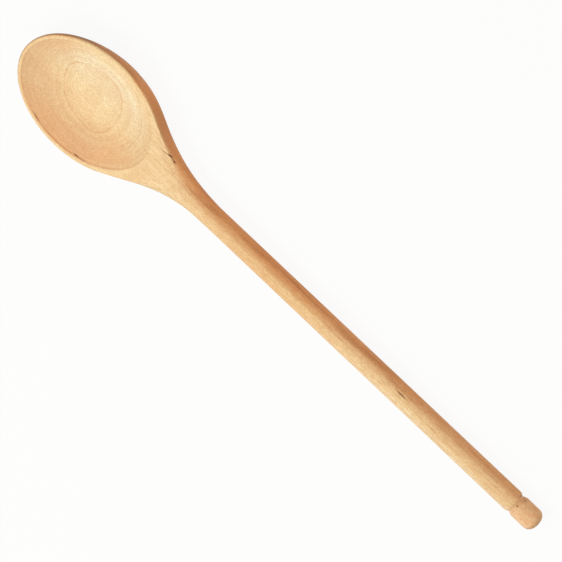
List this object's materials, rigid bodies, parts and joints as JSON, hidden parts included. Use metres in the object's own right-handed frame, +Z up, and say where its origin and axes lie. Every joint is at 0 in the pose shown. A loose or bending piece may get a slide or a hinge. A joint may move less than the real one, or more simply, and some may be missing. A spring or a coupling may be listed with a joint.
{
  "type": "wooden spoon",
  "caption": "Long-handled wooden cooking spoon: a shallow oval bowl, a flared neck and a round handle with a ring groove near its rounded end.",
  "frame": {"origin": "under the middle of the spoon's bounding box, on the table that it lies on", "axes": "+X along the handle from the bowl to the handle's end, +Y across the bowl, +Z up out of the hollow"},
  "size_m": [0.3548, 0.0626, 0.0173],
  "materials": {
    "beech": "bare, sanded, unoiled"
  },
  "bodies": {
    "root": {"spoon": "beech"}
  },
  "joints": []
}
